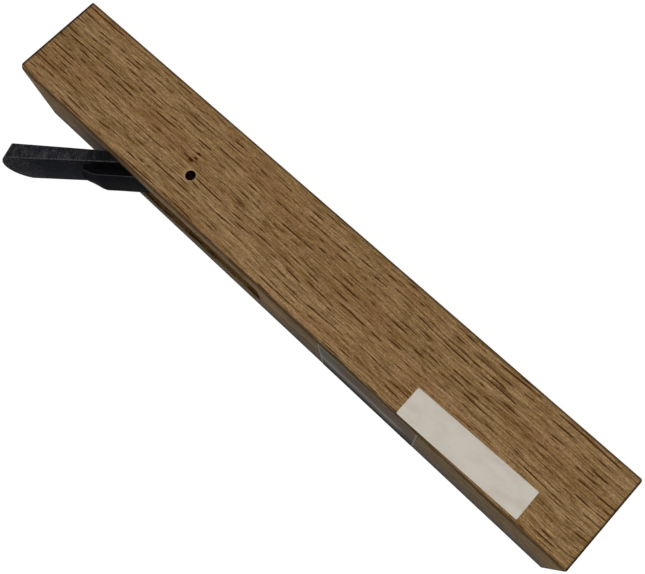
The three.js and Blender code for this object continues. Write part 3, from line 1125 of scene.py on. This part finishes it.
@dataclass
class Block:
    """The oak block."""

    finish: Finish = PlanedOak()
    merge: float = 0.002
    flat_below: float = 0.6
    softened: float = 0.22
    edge_angle: float = 25.0
    smooth_below: float = 32.0
    hole_reach: float = 2.3
    hole_slant: float = 0.3

    def build(self) -> list[Dressed]:
        """The block with its flats made whole and its edges softened.

        Returns:
            The block's piece.
        """
        shape = copy_of(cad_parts["dai_block"].data, self.merge)
        bmesh.ops.dissolve_limit(
            shape.mesh,
            angle_limit=math.radians(self.flat_below),
            verts=shape.mesh.verts[:],
            edges=shape.mesh.edges[:],
            use_dissolve_boundaries=False,
        )
        shape.ease_edges(self.softened, self.edge_angle)
        shape.mark(HOLLOW_AND_SHADE, 1.0, self.in_hole)
        piece = shape.finish("oak_block", self.smooth_below)
        return [Dressed(piece, Body.DAI, Slot.OAK, self.finish, "dai_block")]

    def in_hole(self, face: Face) -> bool:
        """Whether a face is part of the wall of the pin's hole.

        Args:
            face: The face.

        Returns:
            Whether it is.
        """
        low, high = pin_box()
        away = face.calc_center_median() - (low + high) / 2
        return math.hypot(away.x, away.z) < self.hole_reach and abs(face.normal.y) < self.hole_slant


@dataclass
class Iron:
    """The laminated iron: a soft body with a hard steel layer on its face."""

    seat: IronSeat
    half_width: float = 9.5
    edge_half_width: float = 7.9
    ear_end: float = 10.8
    bevel_angle: float = math.radians(28.0)
    head_slant: float = 2.1
    arch_radius: float = 12.0
    arch_offset: float = 1.5
    arch_steps: int = 28
    steel_thickness: float = 1.0
    steel_length: float = 46.0
    weld: float = 0.02
    hollow_length: float = 36.0
    hollow_width: float = 12.0
    hollow_depth: float = 0.45
    hollow_from_edge: float = 3.0
    hollow_dome: float = 1.08
    hollow_margin: float = 0.1
    hollow_least: float = 0.015
    hollow_slant: float = 0.6
    dome_sides: int = 64
    dome_rings: int = 32
    reach: float = 12.0
    merge: float = 0.001
    edge_angle: float = 24.0
    edge_steps: int = 3
    smooth_below: float = 38.0
    forged_edge: float = 0.3
    ground_edge: float = 0.05
    scale: Finish = ForgeScale()
    steel: Finish = GroundSteel()

    def blank(self) -> Shape:
        """The whole iron in the bed frame: its plan drawn up, then cut to the taper and the bevel.

        Returns:
            The shape.
        """
        shape = Shape()
        step = self.half_width - self.edge_half_width
        centre = (self.arch_radius + self.head_slant - self.seat.length, self.arch_offset)
        near = math.asin((self.half_width - self.arch_offset) / self.arch_radius)
        far = math.asin((self.half_width + self.arch_offset) / self.arch_radius)
        sides = shape.outline(
            [
                (0.0, -self.edge_half_width),
                (0.0, self.edge_half_width),
                (step - self.ear_end, self.edge_half_width),
                (-self.ear_end, self.half_width),
                (centre[0] - self.arch_radius * math.cos(near), self.half_width),
            ]
        )
        crown = shape.arc(sides[-1], centre, near + far, self.arch_steps)
        back = [(-self.ear_end, -self.half_width), (step - self.ear_end, -self.edge_half_width)]
        shape.prism(sides[:-1] + crown + shape.outline(back), self.seat.head_thickness + self.reach)
        lean = self.head_slant / self.seat.head_thickness
        for vertex in shape.mesh.verts:
            if vertex.co.x < -self.seat.length / 2:
                vertex.co.x -= lean * vertex.co.z
        top = (0.0, 0.0, self.seat.edge_thickness)
        bevel = self.bevel_angle - self.seat.taper
        shape.shave(top, (math.sin(self.seat.taper), 0.0, math.cos(self.seat.taper)))
        shape.shave(top, (math.sin(bevel), 0.0, -math.cos(bevel)))
        return shape

    def layer(self, depth: float, length: float) -> bpy.types.Object:
        """A tool that holds the layer under the iron's face.

        Args:
            depth: The layer's thickness.
            length: Its length from the edge.

        Returns:
            The tool, in the block's frame.
        """
        shape = Shape()
        bmesh.ops.create_cube(shape.mesh, size=1.0)
        size = (length + self.reach, 2 * self.half_width + self.reach, depth + self.reach, 1.0)
        middle = ((self.reach - length) / 2, 0.0, (self.reach - depth) / 2)
        shape.place(Matrix.Translation(middle) @ Matrix.Diagonal(size))
        shape.place(self.seat.face)
        return shape.finish("layer_tool")

    def hollow(self) -> bpy.types.Object:
        """A tool for the ground hollow, a flattened dome.

        Returns:
            The tool, in the block's frame.
        """
        shape = Shape()
        share = math.sqrt(1 - (1 - self.hollow_depth / self.hollow_dome) ** 2)
        bmesh.ops.create_uvsphere(
            shape.mesh,
            u_segments=self.dome_sides,
            v_segments=self.dome_rings,
            radius=1.0,
        )
        size = (self.hollow_length / 2 / share, self.hollow_width / 2 / share, self.hollow_dome, 1.0)
        middle = (-self.hollow_from_edge - self.hollow_length / 2, 0.0, self.hollow_dome - self.hollow_depth)
        shape.place(Matrix.Translation(middle) @ Matrix.Diagonal(size))
        shape.place(self.seat.face)
        return shape.finish("hollow_tool")

    def cut_body(self, whole: bpy.types.Object) -> None:
        """Takes the steel's place out of the blank."""
        carve(whole, self.layer(self.steel_thickness + self.weld, self.steel_length + self.weld))

    def cut_steel(self, whole: bpy.types.Object) -> None:
        """Leaves only the steel of the blank, with its hollow."""
        carve(whole, self.layer(self.steel_thickness, self.steel_length), "INTERSECT")
        carve(whole, self.hollow())

    def piece_of(self, name: str, cut: Callable[[bpy.types.Object], None], soften: float) -> bpy.types.Object:
        """Cuts one layer out of the blank and softens its edges.

        Args:
            name: The piece's name.
            cut: Cuts the layer.
            soften: The width of the softened edges.

        Returns:
            The piece.
        """
        blank = self.blank()
        blank.place(self.seat.bed)
        whole = blank.finish(name)
        cut(whole)
        shape = copy_of(whole.data, self.merge)
        bpy.data.objects.remove(whole)
        shape.ease_edges(soften, self.edge_angle, self.edge_steps)
        shape.mark(HOLLOW_AND_SHADE, 1.0, self.in_hollow)
        return shape.finish(name, self.smooth_below)

    def in_hollow(self, face: Face) -> bool:
        """Whether a face is part of the ground hollow: it lies under the iron's face and looks up.

        Args:
            face: The face, in the block's frame.

        Returns:
            Whether it is.
        """
        to_face = self.seat.face.inverted()
        place = to_face @ face.calc_center_median()
        up = (to_face.to_3x3() @ face.normal).z
        sunk = -self.hollow_depth - self.hollow_margin < place.z < -self.hollow_least
        return sunk and up > self.hollow_slant and place.x > -self.steel_length

    def build(self) -> list[Dressed]:
        """The iron's body and its steel.

        Returns:
            Both pieces.
        """
        body = self.piece_of("soft_iron", self.cut_body, self.forged_edge)
        steel = self.piece_of("hard_steel", self.cut_steel, self.ground_edge)
        return [
            Dressed(body, Body.IRON, Slot.FORGED_IRON, self.scale, "iron_body"),
            Dressed(steel, Body.IRON, Slot.EDGE_STEEL, self.steel, "iron_steel"),
        ]


@dataclass
class ChipBreaker:
    """The arched chip breaker: a forged plate with a thin steel layer under its tip."""

    seat: IronSeat
    half_width: float = 7.6
    length: float = 76.0
    setback: float = 0.6
    thickness: float = 2.4
    tip_thickness: float = 0.5
    bevel: float = math.radians(20.0)
    land: float = 1.6
    rise: float = 3.25
    head_rise: float = 2.2
    head_from: float = 9.0
    pin_from_edge: float = 29.9
    camber: float = 0.35
    ear_length: float = 7.5
    middle_bend: float = 0.6
    head_radius: float = 10.2
    head_offset: float = 2.0
    tip_corner: float = 1.4
    seat_gap: float = 0.3
    steel_thickness: float = 0.7
    steel_length: float = 22.0
    weld: float = 0.02
    rows: int = 96
    columns: int = 24
    tip_crowding: float = 1.25
    worn_columns: float = 1.1
    facing_up: float = 0.5
    facing_aside: float = 0.7
    # Painted shade: the sides are marked to go near black, as the shaded gap under the plate.
    side_shade: float = 0.85
    forged_edge: float = 0.3
    edge_angle: float = 55.0
    smooth_below: float = 40.0
    scale: Finish = ForgeScale(
        name="breaker_scale",
        scale=from_srgb(9, 9, 12),
        blue=from_srgb(15, 16, 23),
        brown=from_srgb(21, 19, 20),
        shine=0.006,
        head_from=200.0,
        shade_until=0.0,
        rub=0.04,
    )
    steel: Finish = GroundSteel()

    def eased(self, value: float) -> float:
        """A smooth step from 0 to 1."""
        held = min(1.0, max(0.0, value))
        return held * held * (3 - 2 * held)

    def arch_at(self, distance: float) -> float:
        """How far the middle of the underside stands off the iron.

        Args:
            distance: The distance from the iron's edge.

        Returns:
            The height in millimetres.
        """
        land_end = self.setback + self.land
        head_place = self.setback + self.length - self.head_from
        if distance <= self.pin_from_edge:
            share = (distance - land_end) / (self.pin_from_edge - land_end)
            return self.rise * math.sin(math.pi / 2 * self.eased(share))
        back = self.eased((distance - self.pin_from_edge) / (head_place - self.pin_from_edge))
        return self.rise + (self.head_rise - self.rise) * back

    def underside(self, distance: float, y: float) -> float:
        """The height of the underside over the iron's face.

        Args:
            distance: The distance from the iron's edge.
            y: The place across.

        Returns:
            The height in millimetres.
        """
        across = abs(y) / self.half_width
        ear_place = self.setback + self.length - self.ear_length
        along = self.eased((distance - ear_place) / self.ear_length)
        bent = self.middle_bend + (1 - self.middle_bend) * self.eased(across)
        arch = self.arch_at(distance)
        camber = self.camber * across**2 * (arch / self.rise)
        return self.seat_gap + arch - camber - (arch - camber) * along * bent

    def full_thickness(self, distance: float) -> float:
        """The plate's thickness, which falls to the tip."""
        return min(self.thickness, self.tip_thickness + (distance - self.setback) * math.tan(self.bevel))

    def body_top(self, distance: float, y: float) -> float:
        """The height of the body's top at a distance from the edge and a place across."""
        return self.underside(distance, y) + self.full_thickness(distance)

    def body_low(self, distance: float, y: float) -> float:
        """The height of the body's underside, which rests on the steel as far as that reaches."""
        on_steel = distance < self.steel_end(y) + self.weld
        return self.underside(distance, y) + (self.steel_thickness + self.weld if on_steel else 0.0)

    def steel_top(self, distance: float, y: float) -> float:
        """The height of the steel's top at a distance from the edge and a place across."""
        return self.underside(distance, y) + min(self.steel_thickness, self.full_thickness(distance))

    def steel_end(self, y: float) -> float:
        """Where the steel ends, which is the same at every place across."""
        return self.setback + self.steel_length

    def tip_at(self, y: float) -> float:
        """Where the plate starts at a place across, with its corners cut off."""
        return self.setback + max(0.0, abs(y) - (self.half_width - self.tip_corner))

    def body_start(self, y: float) -> float:
        """Where the body starts at a place across, once the plate is thicker than its steel."""
        whole_from = (self.steel_thickness + self.weld - self.tip_thickness) / math.tan(self.bevel)
        return max(self.tip_at(y), self.setback + whole_from + self.weld)

    def head_at(self, y: float) -> float:
        """Where the arched head ends at a place across."""
        run = self.head_radius**2 - (y - self.head_offset) ** 2
        return self.setback + self.length - self.head_radius + math.sqrt(max(0.0, run))

    def plate(
        self,
        start: Callable[[float], float],
        end: Callable[[float], float],
        low: Callable[[float, float], float],
        high: Callable[[float, float], float],
    ) -> Shape:
        """A plate between two height fields, from a flat grid drawn up and then shaped.

        Args:
            start: Where it starts at a place across.
            end: Where it ends at a place across.
            low: Its underside at a distance and a place across.
            high: Its top at a distance and a place across.

        Returns:
            The shape, in the face frame.
        """
        shape = Shape()
        bmesh.ops.create_grid(shape.mesh, x_segments=self.rows, y_segments=self.columns, size=UNIT_HALF)
        drawn = bmesh.ops.extrude_face_region(shape.mesh, geom=shape.mesh.faces[:], use_keep_orig=True)
        top = {item for item in drawn["geom"] if isinstance(item, Vertex)}
        for vertex in shape.mesh.verts:
            y = vertex.co.y / UNIT_HALF * self.half_width
            share = (UNIT_HALF - vertex.co.x) ** self.tip_crowding
            distance = start(y) + (end(y) - start(y)) * share
            field_at = high if vertex in top else low
            vertex.co = (-distance, y, field_at(distance, y))
        shape.face_out()
        return shape

    def on_strip(self, face: Face) -> bool:
        """Whether a face is part of the top's outer strips.

        Args:
            face: The face, in the face frame.

        Returns:
            Whether it is.
        """
        face.normal_update()
        strip = self.half_width - self.worn_columns * 2 * self.half_width / self.columns
        return face.normal.z > self.facing_up and abs(face.calc_center_median().y) > strip

    def on_side(self, face: Face) -> bool:
        """Whether a face is part of the plate's sides."""
        return not self.on_strip(face) and abs(face.normal.y) > self.facing_aside

    def build(self) -> list[Dressed]:
        """The breaker's body and its steel.

        Returns:
            Both pieces.
        """
        body = self.plate(self.body_start, self.head_at, self.body_low, self.body_top)
        steel = self.plate(self.tip_at, self.steel_end, self.underside, self.steel_top)
        body.mark(WEAR, 1.0, self.on_strip)
        # The sides carry painted shade, near black like the gap under the plate.
        body.mark(HOLLOW_AND_SHADE, self.side_shade, self.on_side)
        body.ease_edges(self.forged_edge, self.edge_angle)
        body.place(self.seat.face)
        steel.place(self.seat.face)
        iron = body.finish("breaker_iron", self.smooth_below)
        edge = steel.finish("breaker_edge", self.smooth_below)
        return [
            Dressed(iron, Body.BREAKER, Slot.FORGED_IRON, self.scale, "breaker_body"),
            Dressed(edge, Body.BREAKER, Slot.EDGE_STEEL, self.steel, "breaker_steel"),
        ]


@dataclass
class PressurePin:
    """The steel pin through the cheeks."""

    radius: float = 1.75
    sides: int = 48
    dome: float = 0.25
    dome_power: int = 4
    dome_ring: float = 0.5
    softened: float = 0.2
    edge_angle: float = 50.0
    finish: Finish = DullWire()

    def build(self) -> list[Dressed]:
        """The pin with its cut ends slightly domed.

        Returns:
            The pin's piece.
        """
        low, high = pin_box()
        shape = Shape()
        bmesh.ops.create_cone(
            shape.mesh,
            cap_ends=True,
            segments=self.sides,
            radius1=self.radius,
            radius2=self.radius,
            depth=high.y - low.y,
        )
        ends = [face for face in shape.mesh.faces if len(face.verts) == self.sides]
        bmesh.ops.inset_region(shape.mesh, faces=ends, thickness=self.dome_ring, depth=0.0)
        for vertex in shape.mesh.verts:
            out = math.hypot(vertex.co.x, vertex.co.y) / self.radius
            vertex.co.z -= math.copysign(self.dome * out**self.dome_power, vertex.co.z)
        shape.ease_edges(self.softened, self.edge_angle)
        shape.place(Matrix.Translation((low + high) / 2) @ Matrix.Rotation(math.pi / 2, 4, "X"))
        piece = shape.finish("cross_pin")
        return [Dressed(piece, Body.DAI, Slot.PIN_STEEL, self.finish, "pressure_pin")]


@dataclass
class Sticker:
    """A thin bare sheet stuck on a flat of the block."""

    name: str
    node: str
    length: float
    width: float
    place: Matrix
    slot: Slot
    finish: Finish
    corner: float = 0.5
    thickness: float = 0.1
    lift: float = 0.015
    steps: int = 8

    def build(self) -> list[Dressed]:
        """The sheet with its round corners.

        Returns:
            The sheet's piece.
        """
        shape = Shape()
        x, y = self.length / 2 - self.corner, self.width / 2 - self.corner
        turns = ((x, -y, 0, -1), (x, y, 1, 0), (-x, y, 0, 1), (-x, -y, -1, 0))
        ring: list[Vertex] = []
        for centre_x, centre_y, along, across in turns:
            start = (centre_x + along * self.corner, centre_y + across * self.corner)
            first = shape.outline([start])[0]
            ring += shape.arc(first, (centre_x, centre_y), math.pi / 2, self.steps)
        shape.prism(ring, self.thickness, self.lift)
        shape.place(self.place)
        piece = shape.finish(self.name)
        return [Dressed(piece, Body.DAI, self.slot, self.finish, self.node)]


@dataclass
class Stickers:
    """The two bare stickers, each with its middle measured from the head."""

    paper_from_head: float = 223.4
    paper_height: float = 32.0
    paper_tilt: float = math.radians(1.25)
    paper_size: tuple[float, float] = (50.5, 11.5)
    film_from_head: float = 185.5
    film_size: tuple[float, float] = (46.0, 33.8)

    def build(self) -> list[Dressed]:
        """The paper on the side and the film on the top.

        Returns:
            Both pieces.
        """
        side = (
            Matrix.Translation((self.paper_from_head - BLOCK_LENGTH / 2, BLOCK_WIDTH / 2, self.paper_height))
            @ Matrix.Rotation(-math.pi / 2, 4, "X")
            @ Matrix.Rotation(self.paper_tilt, 4, "Z")
        )
        top = Matrix.Translation((self.film_from_head - BLOCK_LENGTH / 2, 0.0, BLOCK_HEIGHT))
        paper = Sticker("paper_sticker", "side_label", *self.paper_size, side, Slot.PAPER, StickerPaper())
        film = Sticker("film_sticker", "top_label", *self.film_size, top, Slot.FILM, GlossFilm())
        return paper.build() + film.build()


@dataclass
class Studio:
    """The floor, the light and the camera."""

    eye: Point = (83.3, 288.54, 73.16)
    right: Point = (0.72009, -0.05444, -0.69174)
    up: Point = (-0.65075, 0.29303, -0.70047)
    focal_pixels: float = 810.4
    picture_width: float = 645.0
    sensor: float = 36.0
    clip: tuple[float, float] = (0.01, 100.0)
    floor_size: float = 6000.0
    floor_gap: float = 0.2
    sky: float = 0.28
    sun: float = 2.4
    sun_from: Point = (0.25, 0.95, 0.16)
    fill: float = 1.5
    fill_from: Point = (-0.35, -0.93, 0.02)
    sun_spread: float = math.radians(30.0)

    def floor(self) -> None:
        """Lays the floor just under the sole."""
        shape = Shape()
        bmesh.ops.create_grid(shape.mesh, x_segments=1, y_segments=1, size=self.floor_size / 2)
        shape.place(Matrix.Translation((0.0, 0.0, -self.floor_gap)))
        piece = shape.finish("floor")
        piece.data.materials.append(PaleFloor().material())

    def world(self) -> None:
        """White to the camera and in reflections, and a plain soft light on everything else."""
        world = bpy.data.worlds.new("studio")
        bpy.context.scene.world = world
        world.use_nodes = True
        nodes = Nodes(world.node_tree)
        level = nodes.node("MapRange", nodes.seen(), 0.0, 1.0, self.sky, 1.0).outputs["Result"]
        back = nodes.node("Background", WHITE, level).outputs[0]
        nodes.node("OutputWorld", back)

    def lamp(self, name: str, strength: float, place: Point, shines: bool) -> None:
        """Lights the block and the whole floor evenly from one side.

        Args:
            name: The lamp's name.
            strength: Its strength.
            place: The direction that the light comes from.
            shines: Whether it is mirrored in glossy surfaces.
        """
        light = bpy.data.lights.new(name, "SUN")
        light.energy = strength
        light.angle = self.sun_spread
        lamp = bpy.data.objects.new(name, light)
        aim = (-Vector(place)).to_track_quat("-Z", "Y")
        lamp.matrix_world = Matrix.Translation(Vector(place)) @ aim.to_matrix().to_4x4()
        lamp.visible_glossy = shines
        bpy.context.scene.collection.objects.link(lamp)

    def camera(self) -> None:
        """Sets up the camera that the photograph was taken from."""
        data = bpy.data.cameras.new("camera")
        data.sensor_width = self.sensor
        data.lens = self.focal_pixels * self.sensor / self.picture_width
        data.clip_start, data.clip_end = self.clip
        camera = bpy.data.objects.new("camera", data)
        across = Vector(self.right).normalized()
        upward = Vector(self.up)
        upward = (upward - across * upward.dot(across)).normalized()
        turn = Matrix((across, upward, across.cross(upward))).transposed().to_4x4()
        camera.matrix_world = Matrix.Translation(Vector(self.eye) * MILLIMETRE) @ turn
        bpy.context.scene.collection.objects.link(camera)
        bpy.context.scene.camera = camera

    def build(self) -> None:
        """Sets the whole studio up."""
        bpy.context.scene.view_settings.view_transform = "Standard"
        self.camera()
        self.floor()
        self.world()
        self.lamp("key", self.sun, self.sun_from, shines=True)
        self.lamp("fill", self.fill, self.fill_from, shines=False)


def main() -> None:
    """Builds the studio and every piece of the plane, and reports each."""
    logging.basicConfig(level=logging.INFO, format="%(message)s")
    Studio().build()
    seat = IronSeat()
    for assembly in (Block(), Iron(seat), ChipBreaker(seat), PressurePin(), Stickers()):
        for dressed in assembly.build():
            piece = dressed.settle()
            log.info("%s: %d faces, on %s", piece.name, len(piece.data.polygons), dressed.body.value)


if __name__ == "__main__":
    main()
